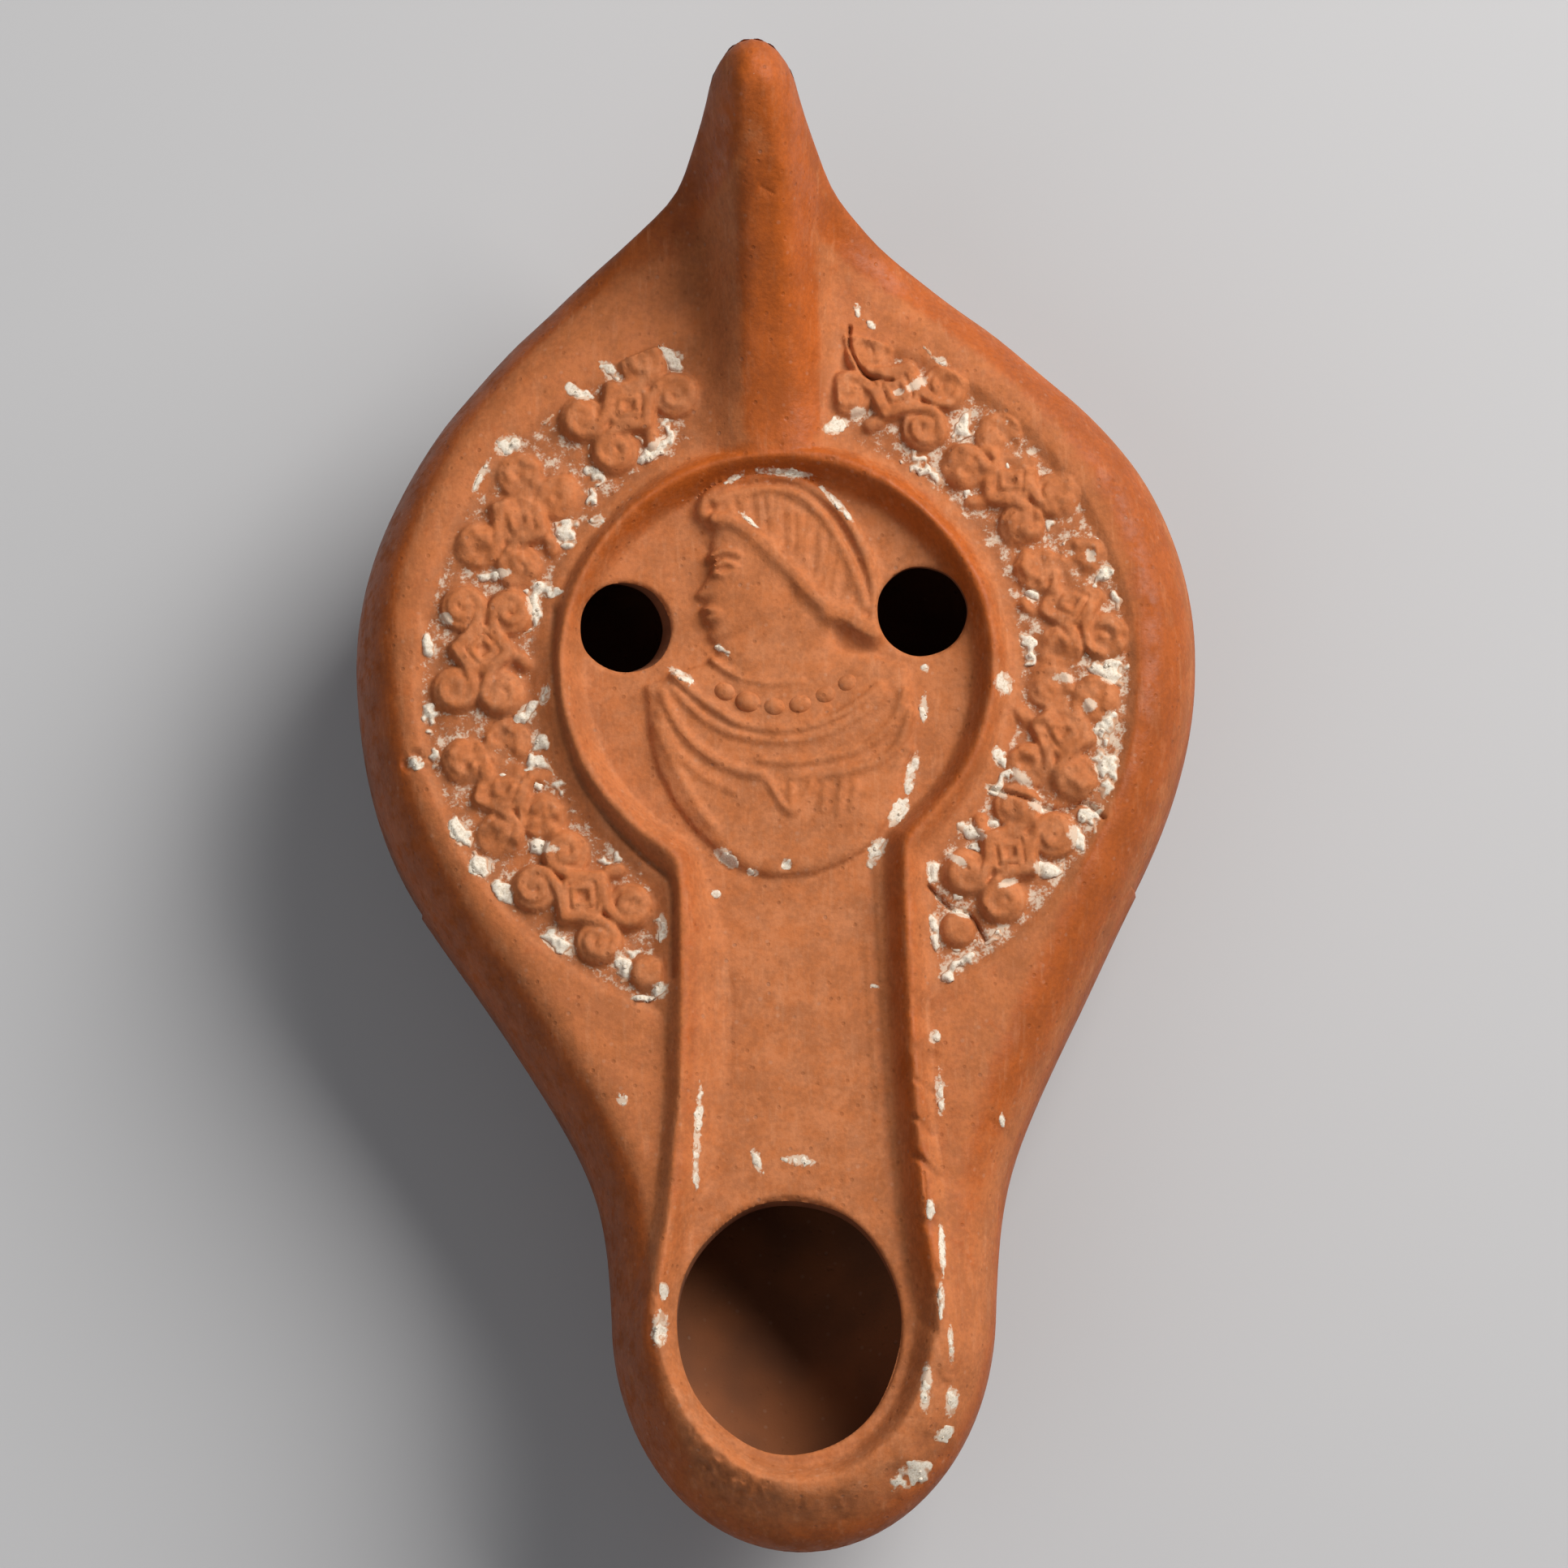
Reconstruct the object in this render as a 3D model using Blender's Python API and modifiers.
"""Terracotta oil lamp: one moulded and fired piece, hollow, with a relief on its top.

The lamp lies on its foot ring with the nozzle towards -Y and the handle towards +Y.
Its skin is one loft of closed cross-sections along Y. The top of every section is read from
a height function: shoulder, keyhole ridge, channel, handle ridge, stamped band and bust.
The oil chamber is a second, smaller loft, and the wick hole and the two filling holes open it.
"""
import math

import bmesh
import bpy
import numpy as np
from mathutils import Matrix

MM = 0.001

# Plan of the lamp, measured from the centre of the discus
BODY_RADIUS = 40.45 * MM
BODY_FRONT = 43.7 * MM
BODY_BACK = 37.0 * MM
BODY_CENTRE_Y = 3.6 * MM
FLARE_ANGLE = math.radians(30.9)
NOZZLE_HALF_WIDTH = 17.6 * MM
NOZZLE_REACH = 82.6 * MM
NOZZLE_NOSE = 21.9 * MM
NOZZLE_KNEE = 4.4 * MM
HANDLE_REACH = 58.2 * MM
KNOB_HALF_WIDTH = 4.2 * MM
KNOB_LENGTH = 4.0 * MM
HANDLE_ROOT_WIDTH = 18.25 * MM
HANDLE_ROOT = 19.6 * MM

# Heights over the surface that the lamp stands on
BASE_HEIGHT = 1.2 * MM
EQUATOR_HEIGHT = 19.5 * MM
SHOULDER_HEIGHT = 31.0 * MM
RIDGE_RISE = 1.9 * MM
FLOOR_HEIGHT = 29.9 * MM
HANDLE_HEIGHT = 50.0 * MM
NOZZLE_TIP_RISE = 5.0 * MM
SHOULDER_FLANK = 5.9 * MM
BOWL_FLANK = 17.5 * MM
BOWL_WALL_SLOPE = 4.0
HANDLE_FILLET = 2.5 * MM
BAND_RECESS = 0.5 * MM
BAND_EDGE = 0.7 * MM
BAND_FADE = 3.5 * MM
RIDGE_GAP = 0.6 * MM

# Foot ring
FOOT_RADIUS = 23.0 * MM
FOOT_WIDTH = 3.2 * MM
FOOT_BURIED = 1.0 * MM
FOOT_SPREAD = 0.6 * MM

# Discus, channel and the ridge round them
DISCUS_RADIUS = 20.6 * MM
RIDGE_CREST = 1.3 * MM
RIDGE_OUTER = 1.9 * MM
RIDGE_INNER = 2.4 * MM
CHANNEL_HALF_WIDTH = 10.4 * MM
CHANNEL_SPREAD = 1.3 * MM
CHANNEL_OFFSET = 1.1 * MM
KEYHOLE_FILLET = 1.2 * MM
MOUTH_HALF_WIDTH = 11.9 * MM
MOUTH_HALF_LENGTH = 15.6 * MM
MOUTH_SHIFT = 0.45 * MM
HANDLE_RIDGE_X = 0.2 * MM
HANDLE_RIDGE_WIDTH = 4.8 * MM
BAND_OUTER_RADIUS = 34.7 * MM

# Openings and the wall left round the oil chamber
WALL = 4.4 * MM
DISCUS_THICKNESS = 3.5 * MM
WICK_HOLE_X = -0.3 * MM
WICK_HOLE_Y = -62.2 * MM
WICK_HOLE_HALF_WIDTH = 10.8 * MM
WICK_HOLE_HALF_LENGTH = 12.6 * MM
FILLING_HOLE_RADIUS = 4.3 * MM
RIGHT_HOLE = (14.1 * MM, 6.2 * MM)
LEFT_HOLE = (-14.2 * MM, 5.5 * MM)
LEFT_HOLE_LEAN = math.radians(13.0)

# Stamped scroll squares on the band
VOLUTE_U = 4.0 * MM
VOLUTE_V = 2.4 * MM
VOLUTE_RADIUS = 2.0 * MM
VOLUTE_TURNS = 1.45
VOLUTE_EYE = 0.45 * MM
SQUARE_OUTER = 2.57 * MM
SQUARE_INNER = 1.27 * MM
SCROLL_WIDTH = 1.05 * MM
SCROLL_HEIGHT = 0.8 * MM
PAD_HEIGHT = 0.4 * MM
PAD_RADIUS = 2.5 * MM
BUTTON_RADIUS = 1.7 * MM
BUTTON_HEIGHT = 0.7 * MM

# Bust on the discus
BUST_HEIGHT = 0.7 * MM
HEAD_HEIGHT = 1.3 * MM
FACE_LENGTH = 12.0 * MM
FACE_X = -5.3 * MM
FACE_Y = 3.3 * MM
CAP_HEIGHT = 1.0 * MM
BEAD_RADIUS = 0.8 * MM
KNOT_PLACE = (7.6 * MM, 4.9 * MM)
KNOT_WIDTH = 4.2 * MM
KNOT_HEIGHT = 1.9 * MM

# Fineness of the loft and of the finished solid
OUTLINE_STEP = 0.6 * MM
TOP_COLUMNS = 170
UNDER_COLUMNS = 44
CHAMBER_STEP = 5.0 * MM
CHAMBER_COLUMNS = 14
SKIN_SHARE = 0.062

CLAY_COLOUR = (0.46, 0.155, 0.052, 1.0)


def smooth_through(stations, places):
    """Read a smooth curve, with no overshoot, through (place, value) stations."""
    stations = sorted(stations)
    known = np.array([station[0] for station in stations], dtype=float)
    value = np.array([station[1] for station in stations], dtype=float)
    step = np.diff(known)
    rise = np.diff(value) / step
    slope = np.zeros(len(known))
    slope[0] = rise[0]
    slope[-1] = rise[-1]
    same_way = rise[:-1] * rise[1:] > 0
    total = np.where(same_way, rise[:-1] + rise[1:], 1.0)
    slope[1:-1] = np.where(same_way, 2 * rise[:-1] * rise[1:] / total, 0.0)
    at = np.clip(places, known[0], known[-1])
    index = np.clip(np.searchsorted(known, at) - 1, 0, len(step) - 1)
    t = (at - known[index]) / step[index]
    start = value[index] * (1 + 2 * t) * (1 - t) ** 2
    end = value[index + 1] * t * t * (3 - 2 * t)
    leave = slope[index] * step[index] * t * (1 - t) ** 2
    arrive = slope[index + 1] * step[index] * t * t * (t - 1)
    return start + end + leave + arrive


def smooth_max(a, b, blend):
    """The larger of two values, with a fillet where they cross."""
    return 0.5 * (a + b + np.sqrt((a - b) ** 2 + blend ** 2))


def smooth_min(a, b, blend):
    """The smaller of two values, with a fillet where they cross."""
    return -smooth_max(-a, -b, blend)


def smooth_step(value, low, high):
    """Rise from 0 to 1 between low and high."""
    t = np.clip((value - low) / (high - low), 0.0, 1.0)
    return t * t * (3 - 2 * t)


def quarter_round(share, power=2.0):
    """A rounded shoulder: 0 with a steep start, 1 with a level end."""
    share = np.clip(share, 0.0, 1.0)
    return (1 - (1 - share) ** power) ** (1 / power)


def distance_to_path(x, y, path):
    """Shortest distance from each point to an open path of straight pieces."""
    best = np.full(np.shape(x), np.inf)
    for start, end in zip(path[:-1], path[1:]):
        run_x = end[0] - start[0]
        run_y = end[1] - start[1]
        length = max(run_x * run_x + run_y * run_y, 1e-18)
        share = np.clip(((x - start[0]) * run_x + (y - start[1]) * run_y) / length, 0.0, 1.0)
        gap = np.hypot(x - start[0] - share * run_x, y - start[1] - share * run_y)
        best = np.minimum(best, gap)
    return best


def inside_path(x, y, path):
    """True for each point inside the closed outline."""
    inside = np.zeros(np.shape(x), dtype=bool)
    for (x0, y0), (x1, y1) in zip(path, path[1:] + path[:1]):
        if y0 == y1:
            continue
        crosses = (y0 > y) != (y1 > y)
        inside ^= crosses & (x < (x1 - x0) * (y - y0) / (y1 - y0) + x0)
    return inside


def rounded_path(points, per_span=5):
    """A smooth path through hand-set points."""
    count = len(points)
    places = np.linspace(0, count - 1, (count - 1) * per_span + 1)
    padded = [points[0]] + list(points) + [points[-1]]
    path = []
    for place in places:
        index = min(int(place), count - 2)
        t = place - index
        a, b, c, d = padded[index:index + 4]
        path.append(tuple(
            0.5 * (2 * b[i] + (c[i] - a[i]) * t + (2 * a[i] - 5 * b[i] + 4 * c[i] - d[i]) * t * t
                   + (3 * b[i] - a[i] - 3 * c[i] + d[i]) * t ** 3)
            for i in range(2)))
    return path


def bowl_half_width(y, inset=0.0):
    """Half the width of the oval body, its flare and the nozzle, set in by a wall."""
    radius = BODY_RADIUS - inset
    front = BODY_FRONT - inset
    length = np.where(y < BODY_CENTRE_Y, front, BODY_BACK - inset)
    oval = radius * np.sqrt(np.clip(1 - ((y - BODY_CENTRE_Y) / length) ** 2, 0.0, None))
    flare = math.tan(FLARE_ANGLE)
    reach = math.hypot(radius, front * flare)
    tangent_y = BODY_CENTRE_Y - front ** 2 * flare / reach
    line = radius ** 2 / reach + flare * (y - tangent_y)
    tube = smooth_max(line, NOZZLE_HALF_WIDTH - inset, NOZZLE_KNEE)
    nose = NOZZLE_NOSE - inset
    past = np.clip((-NOZZLE_REACH + NOZZLE_NOSE - y) / nose, 0.0, 1.0)
    return np.where(y < tangent_y, tube * np.sqrt(1 - past ** 2), oval)


def handle_taper(y):
    """Half the width of the handle from its knob to its spreading root, with no round end."""
    return smooth_through(
        (
            (0.38 * KNOB_LENGTH, 0.88 * KNOB_HALF_WIDTH),
            (KNOB_LENGTH, KNOB_HALF_WIDTH),
            (0.45 * HANDLE_ROOT, KNOB_HALF_WIDTH + 1.95 * MM),
            (0.57 * HANDLE_ROOT, 0.407 * HANDLE_ROOT_WIDTH),
            (0.75 * HANDLE_ROOT, 0.627 * HANDLE_ROOT_WIDTH),
            (HANDLE_ROOT, HANDLE_ROOT_WIDTH),
            (HANDLE_ROOT + 4.4 * MM, HANDLE_ROOT_WIDTH + 5.75 * MM),
            (HANDLE_ROOT + 8.4 * MM, HANDLE_ROOT_WIDTH + 9.55 * MM),
            (HANDLE_ROOT + 18.4 * MM, 0.0),
        ), HANDLE_REACH - y)


def lamp_half_width(y):
    """Half the width of the whole lamp at each place along it."""
    from_tip = HANDLE_REACH - y
    past = np.clip(1 - from_tip / KNOB_LENGTH, 0.0, 1.0)
    handle = handle_taper(y) * np.sqrt(1 - past ** 2)
    round_blend = 0.8 * MM * smooth_step(from_tip, 0.0, KNOB_LENGTH)
    with_handle = smooth_max(bowl_half_width(y), handle, round_blend)
    return np.where(y > BODY_CENTRE_Y, with_handle, bowl_half_width(y))


def flank_width(y, widest):
    """Width of the rounded flank: narrower where the nozzle or the handle is narrow."""
    middle = np.where(y > BODY_CENTRE_Y, handle_taper(y), NOZZLE_HALF_WIDTH)
    room = np.maximum(bowl_half_width(np.maximum(y, NOZZLE_NOSE - NOZZLE_REACH)), middle)
    slope = np.gradient(room, y)
    room = room / np.sqrt(1 + np.clip(slope, -1.2, 1.2) ** 2)
    return (widest ** -4 + (0.92 * room) ** -4) ** -0.25


def centre_line(y):
    """The hand-made sway of the lamp's middle to its right or left."""
    return smooth_through(
        (
            (-NOZZLE_REACH, 0.35 * MM),
            (-66.0 * MM, 0.65 * MM),
            (-49.5 * MM, 0.98 * MM),
            (-33.0 * MM, 0.45 * MM),
            (-17.0 * MM, -0.47 * MM),
            (0.5 * MM, 0.0),
            (19.0 * MM, 0.07 * MM),
            (33.0 * MM, -1.07 * MM),
            (41.0 * MM, -1.66 * MM),
            (48.0 * MM, -0.6 * MM),
            (HANDLE_REACH, -0.45 * MM),
        ), y)


def equator_height(y):
    """Height of the widest line of the lamp, where top and underside meet."""
    knob = HANDLE_HEIGHT - 3.4 * MM
    return smooth_through(
        (
            (-NOZZLE_REACH, EQUATOR_HEIGHT + NOZZLE_TIP_RISE),
            (-70.0 * MM, EQUATOR_HEIGHT + 0.6 * NOZZLE_TIP_RISE),
            (-50.0 * MM, EQUATOR_HEIGHT + 0.2 * NOZZLE_TIP_RISE),
            (-20.0 * MM, EQUATOR_HEIGHT),
            (28.0 * MM, EQUATOR_HEIGHT),
            (36.0 * MM, EQUATOR_HEIGHT + 0.11 * (knob - EQUATOR_HEIGHT)),
            (42.0 * MM, EQUATOR_HEIGHT + 0.32 * (knob - EQUATOR_HEIGHT)),
            (49.0 * MM, EQUATOR_HEIGHT + 0.64 * (knob - EQUATOR_HEIGHT)),
            (54.0 * MM, EQUATOR_HEIGHT + 0.86 * (knob - EQUATOR_HEIGHT)),
            (HANDLE_REACH, knob),
        ), y)


def bowl_base_height(y):
    """Height of the lowest line of the bowl, which rises along the nozzle."""
    return smooth_through(
        (
            (-NOZZLE_REACH, BASE_HEIGHT + 10.8 * MM),
            (-70.0 * MM, BASE_HEIGHT + 8.0 * MM),
            (-50.0 * MM, BASE_HEIGHT + 4.2 * MM),
            (-32.0 * MM, BASE_HEIGHT + 1.4 * MM),
            (-FOOT_RADIUS, BASE_HEIGHT),
            (FOOT_RADIUS, BASE_HEIGHT),
        ), y)


def handle_keel_height(y):
    """Height of the handle's underside along its middle."""
    knob = HANDLE_HEIGHT - 6.2 * MM
    rise = knob - 0.5 * EQUATOR_HEIGHT
    return smooth_through(
        (
            (24.0 * MM, 0.5 * EQUATOR_HEIGHT),
            (35.0 * MM, 0.5 * EQUATOR_HEIGHT + 0.06 * rise),
            (40.0 * MM, 0.5 * EQUATOR_HEIGHT + 0.24 * rise),
            (45.0 * MM, 0.5 * EQUATOR_HEIGHT + 0.5 * rise),
            (50.0 * MM, 0.5 * EQUATOR_HEIGHT + 0.75 * rise),
            (54.0 * MM, 0.5 * EQUATOR_HEIGHT + 0.9 * rise),
            (HANDLE_REACH, knob),
        ), y)


def shoulder_height(y):
    """Height of the plain shoulder beside the ridges."""
    return smooth_through(
        (
            (-NOZZLE_REACH, SHOULDER_HEIGHT - 1.8 * MM),
            (-74.0 * MM, SHOULDER_HEIGHT - 0.8 * MM),
            (-60.0 * MM, SHOULDER_HEIGHT),
            (28.0 * MM, SHOULDER_HEIGHT),
            (36.0 * MM, SHOULDER_HEIGHT - 0.3 * MM),
            (42.0 * MM, SHOULDER_HEIGHT + 1.6 * MM),
            (46.0 * MM, SHOULDER_HEIGHT + 5.2 * MM),
            (50.0 * MM, HANDLE_HEIGHT - 9.6 * MM),
            (54.0 * MM, HANDLE_HEIGHT - 5.4 * MM),
            (HANDLE_REACH, HANDLE_HEIGHT - 2.4 * MM),
        ), y)


def crest_height(y):
    """Height of the ridge that climbs from the discus to the tip of the handle."""
    rim = SHOULDER_HEIGHT + RIDGE_RISE
    climb = HANDLE_HEIGHT - rim
    return smooth_through(
        (
            (DISCUS_RADIUS - 2.0 * MM, SHOULDER_HEIGHT),
            (DISCUS_RADIUS + RIDGE_CREST, rim - 0.2 * MM),
            (24.5 * MM, rim + 0.02 * climb),
            (32.0 * MM, rim + 0.2 * climb),
            (40.0 * MM, rim + 0.47 * climb),
            (48.0 * MM, rim + 0.79 * climb),
            (HANDLE_REACH - KNOB_LENGTH, HANDLE_HEIGHT),
            (HANDLE_REACH, HANDLE_HEIGHT),
        ), y)


def keyhole_distance(x, y):
    """Distance outside the keyhole of discus, channel and nozzle mouth; negative inside."""
    discus = np.hypot(x, y) - DISCUS_RADIUS
    spread = CHANNEL_SPREAD * smooth_step(-y, DISCUS_RADIUS, -WICK_HOLE_Y)
    channel = np.abs(x - CHANNEL_OFFSET) - (CHANNEL_HALF_WIDTH + spread)
    channel = np.maximum(channel, np.maximum(y + 0.5 * DISCUS_RADIUS, WICK_HOLE_Y - y))
    across = (x - MOUTH_SHIFT) / MOUTH_HALF_WIDTH
    along = (y - WICK_HOLE_Y) / MOUTH_HALF_LENGTH
    reach = np.maximum(np.hypot(across, along), 1e-6)
    mouth = (1 - 1 / reach) * np.hypot(x - MOUTH_SHIFT, y - WICK_HOLE_Y)
    return smooth_min(smooth_min(discus, channel, KEYHOLE_FILLET), mouth, KEYHOLE_FILLET)


def scroll_arm(side_u, side_v):
    """Half of one C-scroll: along the square's side, then round its volute to the eye."""
    start = [
        (0.0, SQUARE_OUTER),
        (0.4 * SQUARE_OUTER, 0.66 * SQUARE_OUTER),
        (0.78 * SQUARE_OUTER, 0.38 * SQUARE_OUTER),
        (VOLUTE_U - 0.55 * VOLUTE_RADIUS, VOLUTE_V - 0.92 * VOLUTE_RADIUS),
    ]
    steps = 16
    for step in range(steps + 1):
        share = step / steps
        angle = -0.5 * math.pi + share * VOLUTE_TURNS * 2 * math.pi
        radius = VOLUTE_RADIUS + (VOLUTE_EYE - VOLUTE_RADIUS) * share
        start.append((VOLUTE_U + radius * math.cos(angle), VOLUTE_V + radius * math.sin(angle)))
    return [(side_u * u, side_v * v) for u, v in start]


def raised_line(gap, width, height):
    """Height of a rounded line at a given distance from its middle."""
    share = np.clip(gap / (0.5 * width), 0.0, 1.0)
    return height * np.sqrt(1 - share ** 2)


def raised_pad(gap, radius, edge, height):
    """Height of a round pad with a soft edge."""
    return height * quarter_round((radius - gap) / edge)


def scroll_square(u, v):
    """Relief of one stamp: two scrolls back to back round a square, with four volutes."""
    relief = np.zeros(np.shape(u))
    for side_u in (-1, 1):
        for side_v in (-1, 1):
            gap = distance_to_path(u, v, scroll_arm(side_u, side_v))
            relief = np.maximum(relief, raised_line(gap, SCROLL_WIDTH, SCROLL_HEIGHT))
            gap = np.hypot(u - side_u * VOLUTE_U, v - side_v * VOLUTE_V)
            relief = np.maximum(relief, raised_pad(gap, PAD_RADIUS, 0.6 * MM, PAD_HEIGHT))
    inner = [(SQUARE_INNER, 0.0), (0.0, SQUARE_INNER), (-SQUARE_INNER, 0.0), (0.0, -SQUARE_INNER)]
    gap = distance_to_path(u, v, inner + inner[:1])
    relief = np.maximum(relief, raised_line(gap, 0.8 * SCROLL_WIDTH, 0.8 * SCROLL_HEIGHT))
    gap = np.abs(u) + np.abs(v)
    relief = np.maximum(relief, raised_pad(gap, SQUARE_OUTER, 0.6 * MM, PAD_HEIGHT))
    for side_v in (-1, 1):
        petal = [(0.0, side_v * 3.5 * MM), (0.0, side_v * 4.4 * MM)]
        gap = distance_to_path(u, v, petal)
        relief = np.maximum(relief, raised_line(gap, 1.4 * MM, 0.8 * SCROLL_HEIGHT))
    return relief


def stamp_places():
    """Place, turn off the band's direction and depth of each scroll square."""
    return (
        (-13.3 * MM, 26.9 * MM, math.radians(16.0), 1.0),
        (-24.0 * MM, 16.0 * MM, 0.0, 0.75),
        (-27.8 * MM, 3.4 * MM, 0.0, 1.0),
        (-26.1 * MM, -10.0 * MM, 0.0, 0.75),
        (-18.9 * MM, -20.8 * MM, 0.0, 1.0),
        (12.4 * MM, 27.7 * MM, 0.0, 0.95),
        (22.9 * MM, 18.5 * MM, 0.0, 0.7),
        (28.3 * MM, 6.4 * MM, 0.0, 0.7),
        (27.0 * MM, -6.2 * MM, 0.0, 0.85),
        (21.6 * MM, -17.8 * MM, 0.0, 0.95),
    )


def button_places():
    """Places of the two plain round buttons that end the band."""
    return ((-13.0 * MM, -28.2 * MM), (16.4 * MM, -25.0 * MM))


def band_relief(x, y):
    """Relief of the stamped band."""
    relief = np.zeros(np.shape(x))
    reach = VOLUTE_U + PAD_RADIUS + VOLUTE_V
    for place_x, place_y, turn, depth in stamp_places():
        near = np.hypot(x - place_x, y - place_y) < reach
        along = math.atan2(place_y, place_x) + 0.5 * math.pi + turn
        dx = x[near] - place_x
        dy = y[near] - place_y
        u = dx * math.cos(along) + dy * math.sin(along)
        v = dy * math.cos(along) - dx * math.sin(along)
        relief[near] = np.maximum(relief[near], depth * scroll_square(u, v))
    for place_x, place_y in button_places():
        gap = np.hypot(x - place_x, y - place_y)
        relief = np.maximum(relief, raised_pad(gap, BUTTON_RADIUS, 1.0 * MM, BUTTON_HEIGHT))
    return relief


def face_outline():
    """A calm generic profile facing -X, on textbook proportions, closed behind the ear."""
    shares = (
        (0.02, 1.02), (-0.05, 0.86), (-0.06, 0.74), (-0.03, 0.67), (-0.10, 0.54), (-0.19, 0.41),
        (-0.10, 0.355), (-0.125, 0.29), (-0.085, 0.255), (-0.115, 0.21), (-0.07, 0.15),
        (-0.10, 0.07), (-0.03, 0.0), (0.16, 0.03), (0.40, 0.16), (0.62, 0.36), (0.70, 0.62),
        (0.45, 0.9),
    )
    return [(FACE_X + a * FACE_LENGTH, FACE_Y + b * FACE_LENGTH) for a, b in shares]


def cap_outline():
    """The crown of the head under the veil, behind the rolled hair."""
    corners = [
        (-5.4, 16.2), (-2.2, 18.8), (0.9, 19.2), (4.7, 17.7),
        (7.7, 14.6), (9.2, 7.0), (8.4, 4.6), (-0.8, 13.6),
    ]
    return [(a * MM, b * MM) for a, b in corners]


def bust_outline():
    """The round-bottomed bust under the neck."""
    corners = [
        (-6.6, 1.6), (-9.6, -0.2), (-12.1, -1.6), (-12.1, -5.0), (-11.1, -8.8), (-9.3, -12.8),
        (-7.1, -15.9), (-4.1, -17.8), (-0.3, -18.8), (3.6, -18.5), (7.4, -17.0), (9.9, -14.2),
        (11.6, -10.0), (12.2, -5.0), (12.0, -0.4), (8.6, 1.4), (4.0, 3.2), (-3.0, 3.4),
    ]
    return [(a * MM, b * MM) for a, b in corners]


def bust_lines():
    """Raised lines of the bust: points in millimetres, width and height of each."""
    return (
        # Edge of the veil over the crown, down to the nape
        (((-6.2, 16.6), (-4.9, 18.2), (-2.2, 19.2), (0.9, 19.4), (4.7, 18.1),
          (7.7, 14.9), (9.1, 11.0), (9.6, 7.1), (9.2, 4.2)), 1.5, 1.5),
        # Rolled hair from the forehead to the knot
        (((-5.1, 15.5), (-3.4, 15.4), (-0.8, 13.6), (2.9, 10.1), (5.9, 6.9), (8.0, 4.6)), 1.5, 1.9),
        # Collar of the dress, in two arcs
        (((-8.2, -1.0), (-6.0, -3.1), (-2.9, -4.6), (0.1, -5.1),
          (3.2, -4.8), (6.4, -3.5), (9.5, -1.1)), 1.2, 1.5),
        (((-9.4, -1.6), (-6.4, -4.7), (-2.9, -6.2), (0.1, -6.6),
          (3.4, -6.3), (7.0, -4.8), (10.4, -1.8)), 1.0, 1.2),
        # Folds that hang from the left shoulder
        (((-10.9, -1.7), (-9.1, -4.6), (-6.1, -6.9), (-2.3, -8.3)), 1.2, 1.3),
        (((-11.3, -2.3), (-10.3, -5.7), (-8.0, -8.3), (-4.6, -9.8), (-2.3, -10.4)), 1.2, 1.3),
        (((-11.6, -2.6), (-10.9, -6.6), (-9.1, -10.5), (-6.9, -14.4)), 1.2, 1.2),
        # Folds that sweep up to the right shoulder
        (((11.4, -1.2), (10.9, -3.8), (8.5, -6.6), (5.4, -8.4), (2.0, -9.4)), 1.2, 1.3),
        (((11.6, -3.6), (9.8, -7.8), (6.2, -10.8)), 1.2, 1.2),
        # Leaf-shaped pin on the breast
        (((1.1, -9.9), (1.1, -12.6)), 1.0, 1.5),
        (((-0.6, -10.6), (1.1, -12.6), (2.8, -10.6)), 0.9, 1.4),
        # Brow, lids and lips of the face
        (((-5.7, 11.9), (-4.6, 12.3), (-3.3, 11.9)), 0.8, 1.7),
        (((-5.5, 10.9), (-4.4, 11.2), (-3.4, 10.8)), 0.6, 1.6),
        (((-6.5, 6.5), (-5.4, 6.3)), 0.7, 1.6),
    )


def hair_lines():
    """Locks between the veil and the rolled hair, combed back from the forehead."""
    locks = []
    for share in (0.16, 0.3, 0.44, 0.58, 0.72, 0.86):
        inner = (-4.6 + 12.2 * share, 16.2 - 11.0 * share ** 1.1)
        outer = (-4.6 + 13.2 * share, 17.6 - 9.6 * share ** 2.2)
        locks.append((inner, outer))
    return locks


def bead_places():
    """Beads of the necklace along one arc."""
    stations = [
        (-6.9, -0.2), (-4.4, -2.2), (-1.7, -3.1), (0.4, -3.3), (2.6, -3.0), (4.8, -2.0), (6.6, -0.6),
    ]
    arc = rounded_path(stations)
    return [arc[index] for index in range(0, len(arc), 4)]


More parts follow.
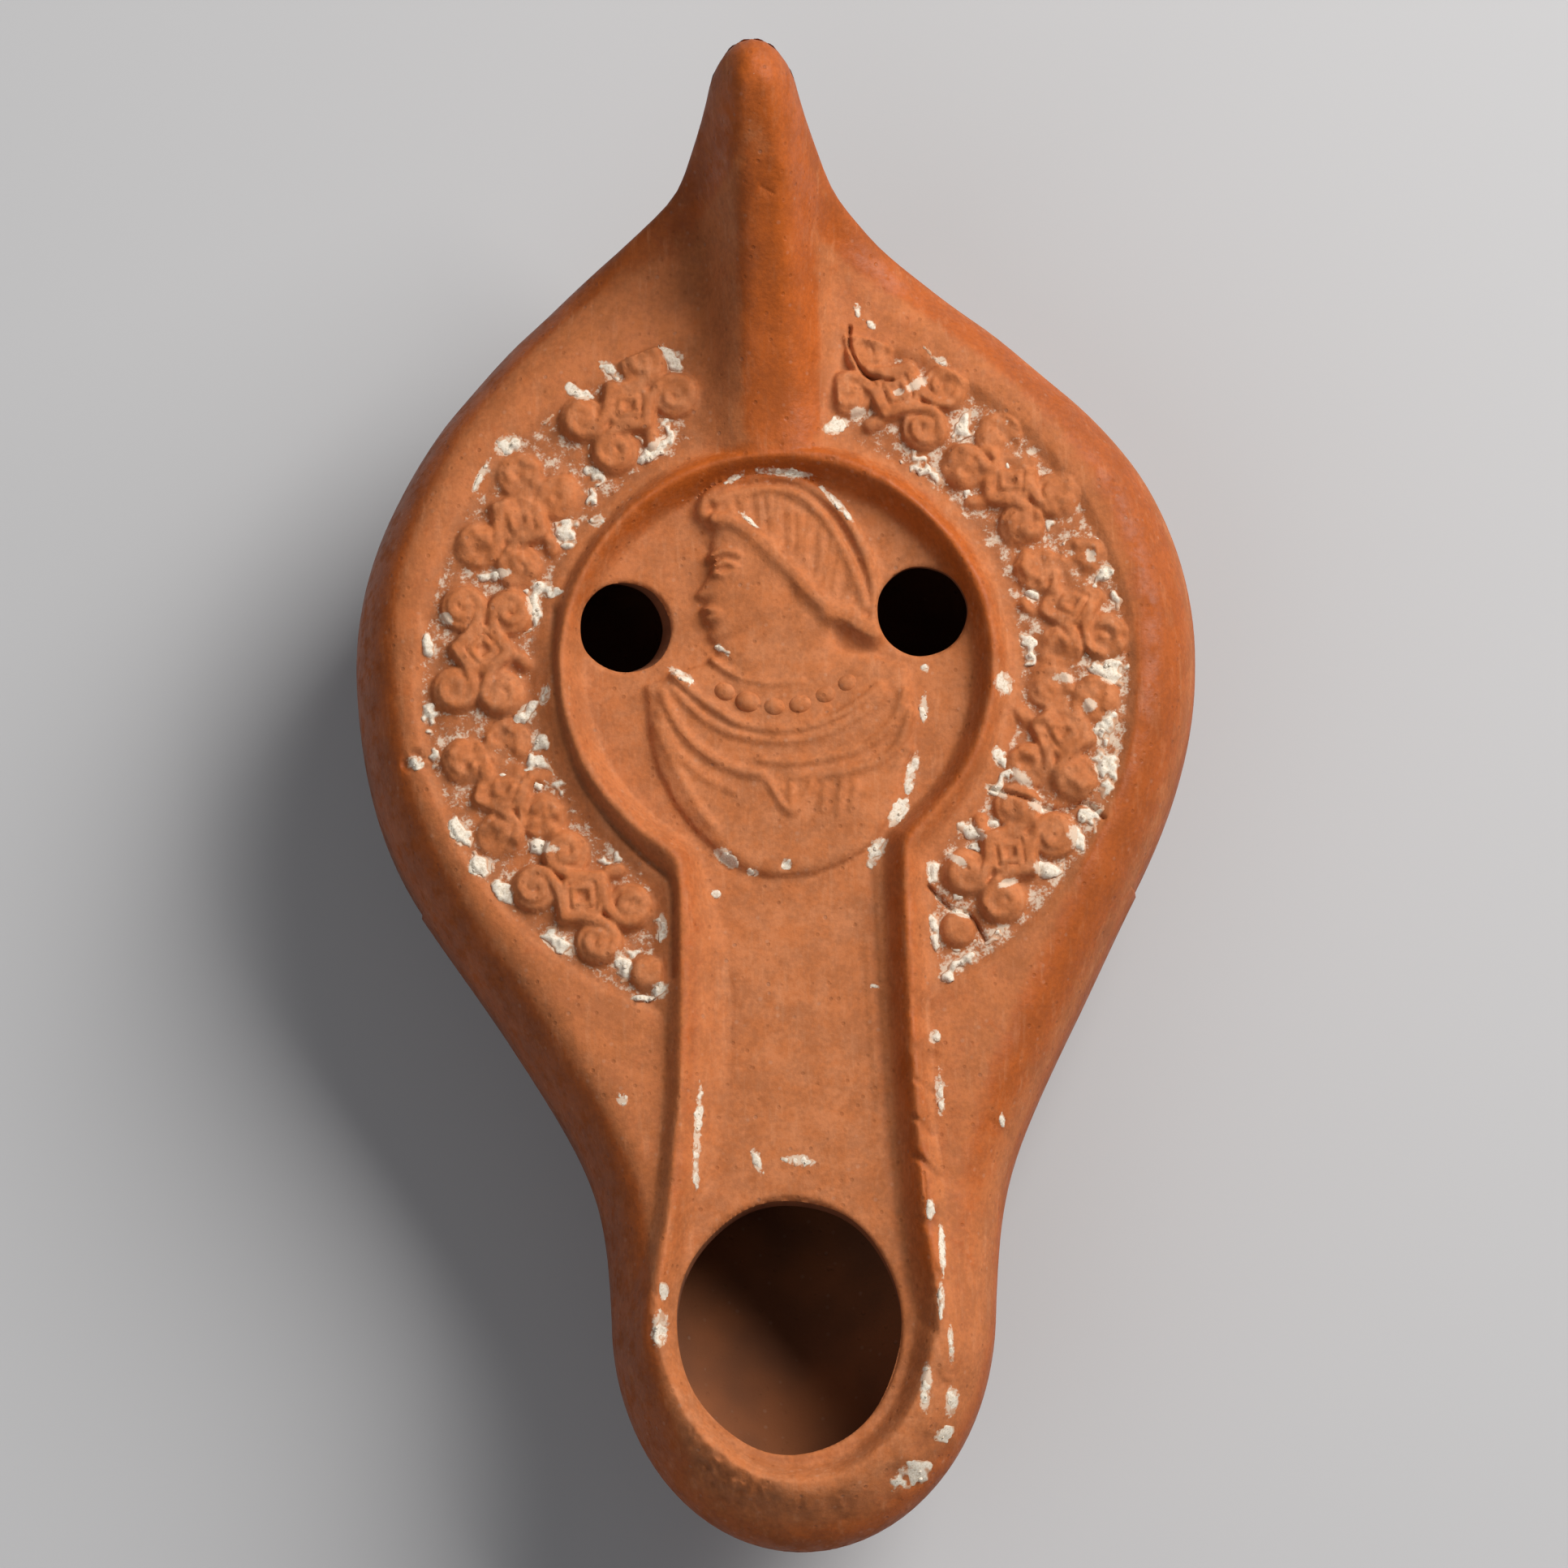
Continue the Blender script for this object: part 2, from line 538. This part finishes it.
def bust_relief(x, y):
    """Relief of the veiled bust on the discus."""
    relief = np.zeros(np.shape(x))
    near = np.hypot(x, y) < DISCUS_RADIUS
    px = x[near]
    py = y[near]
    body = bust_outline()
    edge = distance_to_path(px, py, body + body[:1])
    height = BUST_HEIGHT * quarter_round(np.where(inside_path(px, py, body), edge, 0.0) / (1.6 * MM))
    face = face_outline()
    edge = distance_to_path(px, py, face + face[:1])
    head = HEAD_HEIGHT * quarter_round(np.where(inside_path(px, py, face), edge, 0.0) / (2.4 * MM))
    height = np.maximum(height, head)
    neck = distance_to_path(px, py, [(-0.6 * MM, 7.0 * MM), (0.6 * MM, -1.0 * MM)])
    height = np.maximum(height, raised_pad(neck, 5.6 * MM, 2.5 * MM, 1.05 * MM))
    cap = cap_outline()
    edge = distance_to_path(px, py, cap + cap[:1])
    crown = CAP_HEIGHT * quarter_round(np.where(inside_path(px, py, cap), edge, 0.0) / CAP_HEIGHT)
    height = np.maximum(height, crown)
    for points, width, rise in bust_lines():
        gap = distance_to_path(px / MM, py / MM, rounded_path(points, 4)) * MM
        height = np.maximum(height, raised_line(gap, width * MM, rise * MM))
    for lock in hair_lines():
        gap = distance_to_path(px / MM, py / MM, lock) * MM
        height = np.maximum(height, raised_line(gap, 1.1 * MM, 1.4 * MM))
    for bead_x, bead_y in bead_places():
        gap = np.hypot(px - bead_x * MM, py - bead_y * MM)
        bead = BUST_HEIGHT + raised_line(gap, 2 * BEAD_RADIUS, BEAD_RADIUS)
        height = np.where(gap < BEAD_RADIUS, np.maximum(height, bead), height)
    knot = np.hypot(px - KNOT_PLACE[0], py - KNOT_PLACE[1])
    height = np.maximum(height, raised_line(knot, KNOT_WIDTH, KNOT_HEIGHT))
    relief[near] = height
    return relief


def top_height(x, y, rim_distance, flank):
    """Height of the lamp's top: its ridges and relief, rounded off along the flank."""
    shoulder = shoulder_height(y)
    keyhole = keyhole_distance(x, y)
    crest = RIDGE_RISE * np.cos(0.5 * math.pi * np.clip((keyhole - RIDGE_CREST) / RIDGE_OUTER, -1, 1)) ** 2
    across = np.abs(x - HANDLE_RIDGE_X)
    handle_rise = (crest_height(y) - shoulder) * np.exp(-(across / HANDLE_RIDGE_WIDTH) ** 2)
    handle_rise = np.where(y > DISCUS_RADIUS - 2.0 * MM, handle_rise, 0.0)
    radius = np.hypot(x, y)
    beside_handle = np.where(y > 0, np.abs(x - HANDLE_RIDGE_X) - HANDLE_RIDGE_WIDTH - RIDGE_GAP, BODY_RADIUS)
    into_band = np.minimum(BAND_OUTER_RADIUS - radius, keyhole - RIDGE_CREST - 0.85 * RIDGE_OUTER)
    band = smooth_step(into_band, 0.0, BAND_EDGE) * smooth_step(beside_handle, 0.0, BAND_FADE)
    outside = shoulder + np.maximum(crest, handle_rise) - BAND_RECESS * band + band_relief(x, y) * band
    sink = smooth_step(RIDGE_CREST - keyhole, 0.0, RIDGE_INNER)
    floor = FLOOR_HEIGHT + shoulder - SHOULDER_HEIGHT
    inside_ridge = keyhole < RIDGE_CREST
    top_of_ridge = shoulder + RIDGE_RISE
    outside = np.where(inside_ridge, top_of_ridge + (floor - top_of_ridge) * sink, outside)
    inside_discus = inside_ridge & (y > -DISCUS_RADIUS)
    outside = outside + np.where(inside_discus, bust_relief(x, y), 0.0)
    equator = equator_height(y)
    return equator + (outside - equator) * quarter_round(rim_distance / flank, 2.1)


def under_height(x, y, rim_distance, flank):
    """Height of the underside: the round bowl and nozzle, with the handle growing out of it."""
    equator = equator_height(y)
    behind = y > BODY_CENTRE_Y
    from_centre = np.hypot(x - centre_line(y), (y - BODY_CENTRE_Y) * BODY_RADIUS / BODY_BACK)
    bowl_gap = np.where(behind, BODY_RADIUS - from_centre, rim_distance)
    base = bowl_base_height(y)
    waist = np.where(behind, EQUATOR_HEIGHT, equator)
    flank_here = np.where(behind, BOWL_FLANK, flank)
    bowl = base + (waist - base) * (1 - quarter_round(bowl_gap / flank_here, 1.8))
    bowl = bowl + BOWL_WALL_SLOPE * np.clip(-bowl_gap, 0.0, None)
    keel = handle_keel_height(y)
    handle = keel + (equator - keel) * (1 - quarter_round(rim_distance / flank, 1.8))
    joined = smooth_min(bowl, handle, HANDLE_FILLET * smooth_step(y, FOOT_RADIUS, BODY_RADIUS))
    return np.where(behind, joined, bowl)


def rows_along(half_width, first, last, step):
    """Places along the lamp at equal steps of its outline, so that both ends stay round."""
    fine = first + (last - first) * 0.5 * (1 - np.cos(np.linspace(0, math.pi, 4000)))
    width = half_width(fine)
    length = np.concatenate(([0.0], np.cumsum(np.hypot(np.diff(fine), np.diff(width)))))
    count = int(round(length[-1] / step))
    return np.interp(np.linspace(0, length[-1], count + 1)[1:-1], length, fine)


def columns_across(count):
    """Places across the lamp from -1 to 1, closer together near its two flanks."""
    even = np.linspace(-1, 1, count)
    return 0.45 * even + 0.55 * np.sin(0.5 * math.pi * even)


def frame_shift():
    """The step from the discus's centre to the middle of the lamp's box."""
    places = np.linspace(-NOZZLE_REACH, HANDLE_REACH, 2000)
    right = (centre_line(places) + lamp_half_width(places)).max()
    left = (centre_line(places) - lamp_half_width(places)).min()
    return np.array([-0.5 * (left + right), 0.5 * (NOZZLE_REACH - HANDLE_REACH), 0.0])


def loft(name, rings, first_tip, last_tip):
    """A closed mesh through equal rings of points, with a point at each end."""
    size = len(rings[0])
    points = [first_tip] + [point for ring in rings for point in ring] + [last_tip]
    faces = []
    for index in range(size):
        after = (index + 1) % size
        faces.append((0, 1 + index, 1 + after))
        for row in range(len(rings) - 1):
            near = 1 + row * size
            far = near + size
            faces.append((near + index, far + index, far + after, near + after))
        last = 1 + (len(rings) - 1) * size
        faces.append((len(points) - 1, last + after, last + index))
    mesh = bpy.data.meshes.new(name)
    mesh.from_pydata([tuple(point) for point in points], [], faces)
    mesh.validate()
    build = bmesh.new()
    build.from_mesh(mesh)
    bmesh.ops.recalc_face_normals(build, faces=build.faces)
    build.to_mesh(mesh)
    build.free()
    return mesh


def rings_of(x_top, z_top, x_under, z_under, rows):
    """Join the top and underside of each row to one ring, sharing the two rim points."""
    shift = frame_shift()
    rings = []
    for index, y in enumerate(rows):
        over = [(x, y, z) for x, z in zip(x_top[index], z_top[index])]
        below = [(x, y, z) for x, z in zip(x_under[index][-2:0:-1], z_under[index][-2:0:-1])]
        rings.append(np.array(over + below) + shift)
    return rings


def skin_mesh():
    """The outer surface of the lamp, solid."""
    rows = rows_along(lamp_half_width, -NOZZLE_REACH, HANDLE_REACH, OUTLINE_STEP)
    width = lamp_half_width(rows)
    middle = centre_line(rows)
    edge_right = [(m + w, y) for m, w, y in zip(middle, width, rows)]
    edge_left = [(m - w, y) for m, w, y in zip(middle, width, rows)]
    nose = (float(centre_line(-NOZZLE_REACH)), -NOZZLE_REACH)
    tip = (float(centre_line(HANDLE_REACH)), HANDLE_REACH)
    rim = [nose] + edge_right[::3] + [tip] + edge_left[::-3] + [nose]
    sides = []
    for count, widest in ((TOP_COLUMNS, SHOULDER_FLANK), (UNDER_COLUMNS, BOWL_FLANK)):
        x = middle[:, None] + width[:, None] * columns_across(count)[None, :]
        y = np.repeat(rows[:, None], count, axis=1)
        gap = distance_to_path(x, y, rim)
        gap[:, 0] = 0.0
        gap[:, -1] = 0.0
        sides.append((x, y, gap, flank_width(rows, widest)[:, None]))
    x_top, y_top, gap, flank = sides[0]
    z_top = top_height(x_top, y_top, gap, flank)
    x_under, y_under, gap, flank = sides[1]
    z_under = under_height(x_under, y_under, gap, flank)
    rings = rings_of(x_top, z_top, x_under, z_under, rows)
    shift = frame_shift()
    first = np.array([nose[0], nose[1], float(equator_height(-NOZZLE_REACH))]) + shift
    last = np.array([tip[0], tip[1], float(equator_height(HANDLE_REACH))]) + shift
    return loft("lamp", rings, first, last)


def chamber_mesh():
    """The oil chamber inside the bowl and the nozzle."""
    first = -NOZZLE_REACH + WALL
    last = BODY_CENTRE_Y + BODY_BACK - WALL

    def width_inside(y):
        return bowl_half_width(y, WALL)

    rows = rows_along(width_inside, first, last, CHAMBER_STEP)
    width = width_inside(rows)
    middle = centre_line(rows)
    across = columns_across(CHAMBER_COLUMNS)
    x = middle[:, None] + width[:, None] * across[None, :]
    rim_gap = width[:, None] * (1 - np.abs(across))[None, :]
    ceiling = FLOOR_HEIGHT - DISCUS_THICKNESS
    equator = equator_height(np.minimum(rows, FOOT_RADIUS))[:, None]
    floor = (bowl_base_height(rows) + WALL)[:, None]
    end_gap = np.minimum(rows - first, last - rows)[:, None]
    gap = smooth_min(rim_gap, end_gap, 2.0 * MM)
    gap = np.clip(gap, 0.0, None)
    z_top = equator + (ceiling - equator) * quarter_round(gap / SHOULDER_FLANK)
    z_under = floor + (equator - floor) * (1 - quarter_round(gap / (BOWL_FLANK - 0.5 * WALL), 1.8))
    rings = rings_of(x, z_top, x, z_under, rows)
    shift = frame_shift()
    front = np.array([float(centre_line(first)), first, float(equator_height(first))]) + shift
    back = np.array([float(centre_line(last)), last, EQUATOR_HEIGHT]) + shift
    return loft("oil_chamber", rings, front, back)


def round_cutter(name, place, radius_x, radius_y, low, high, lean):
    """A closed cylinder that cuts a hole, leaning towards -X at its foot."""
    build = bmesh.new()
    bmesh.ops.create_cone(
        build, cap_ends=True, segments=36, radius1=1.0, radius2=1.0, depth=high - low)
    bmesh.ops.scale(build, vec=(radius_x, radius_y, 1.0), verts=build.verts)
    shift = frame_shift()
    turn = Matrix.Rotation(lean, 4, "Y")
    pivot = Matrix.Translation((place[0] + shift[0], place[1] + shift[1], FLOOR_HEIGHT))
    rise = Matrix.Translation((0.0, 0.0, 0.5 * (low + high) - FLOOR_HEIGHT))
    bmesh.ops.transform(build, matrix=pivot @ turn @ rise, verts=build.verts)
    mesh = bpy.data.meshes.new(name)
    build.to_mesh(mesh)
    build.free()
    return mesh


def foot_ring(collection):
    """The turned foot ring: a profile spun round the lamp's vertical axis."""
    inner = FOOT_RADIUS - FOOT_WIDTH
    top = BASE_HEIGHT + FOOT_BURIED
    profile = [
        (FOOT_RADIUS + FOOT_SPREAD, top),
        (FOOT_RADIUS, 0.0),
        (inner, 0.0),
        (inner - FOOT_SPREAD, top),
    ]
    profile.append(profile[0])
    mesh = bpy.data.meshes.new("foot_ring")
    edges = [(index, index + 1) for index in range(len(profile) - 1)]
    mesh.from_pydata([(radius, 0.0, height) for radius, height in profile], edges, [])
    ring = bpy.data.objects.new("foot_ring", mesh)
    collection.objects.link(ring)
    spin = ring.modifiers.new("spin", "SCREW")
    spin.steps = 48
    spin.render_steps = 48
    spin.use_merge_vertices = True
    spin.merge_threshold = 0.00001
    spin.use_normal_calculate = True
    weld = ring.modifiers.new("close profile", "WELD")
    weld.merge_threshold = 0.00001
    shift = frame_shift()
    ring.location = (shift[0], shift[1], 0.0)
    return ring


def terracotta():
    """Orange-brown fired clay with a soft burnish."""
    material = bpy.data.materials.new("terracotta")
    material.use_nodes = True
    shader = material.node_tree.nodes["Principled BSDF"]
    shader.inputs["Base Color"].default_value = CLAY_COLOUR
    shader.inputs["Roughness"].default_value = 0.62
    shader.inputs["Metallic"].default_value = 0.0
    return material


def new_collection(name):
    """A collection linked to the scene."""
    collection = bpy.data.collections.new(name)
    bpy.context.scene.collection.children.link(collection)
    return collection


def main():
    for leftover in list(bpy.data.objects):
        bpy.data.objects.remove(leftover, do_unlink=True)
    made = new_collection("oil_lamp")
    cutters = new_collection("cutters")

    lamp = bpy.data.objects.new("lamp", skin_mesh())
    made.objects.link(lamp)
    lamp.data.materials.append(terracotta())

    thin = lamp.modifiers.new("fewer faces", "DECIMATE")
    thin.ratio = SKIN_SHARE
    thin.use_collapse_triangulate = True

    join = lamp.modifiers.new("foot ring", "BOOLEAN")
    join.operation = "UNION"
    join.object = foot_ring(cutters)

    above = HANDLE_HEIGHT
    inside = EQUATOR_HEIGHT + 1.5 * MM
    meshes = (
        chamber_mesh(),
        round_cutter("wick_hole", (WICK_HOLE_X, WICK_HOLE_Y), WICK_HOLE_HALF_WIDTH,
                     WICK_HOLE_HALF_LENGTH, inside, above, 0.0),
        round_cutter("right_filling_hole", RIGHT_HOLE, FILLING_HOLE_RADIUS, FILLING_HOLE_RADIUS,
                     inside, above, 0.0),
        round_cutter("left_filling_hole", LEFT_HOLE, FILLING_HOLE_RADIUS, FILLING_HOLE_RADIUS,
                     inside, above, LEFT_HOLE_LEAN),
    )
    for mesh in meshes:
        cutter = bpy.data.objects.new(mesh.name, mesh)
        cutters.objects.link(cutter)
        cut = lamp.modifiers.new(mesh.name, "BOOLEAN")
        cut.operation = "DIFFERENCE"
        cut.object = cutter

    for helper in cutters.objects:
        helper.hide_render = True
        helper.display_type = "WIRE"


main()
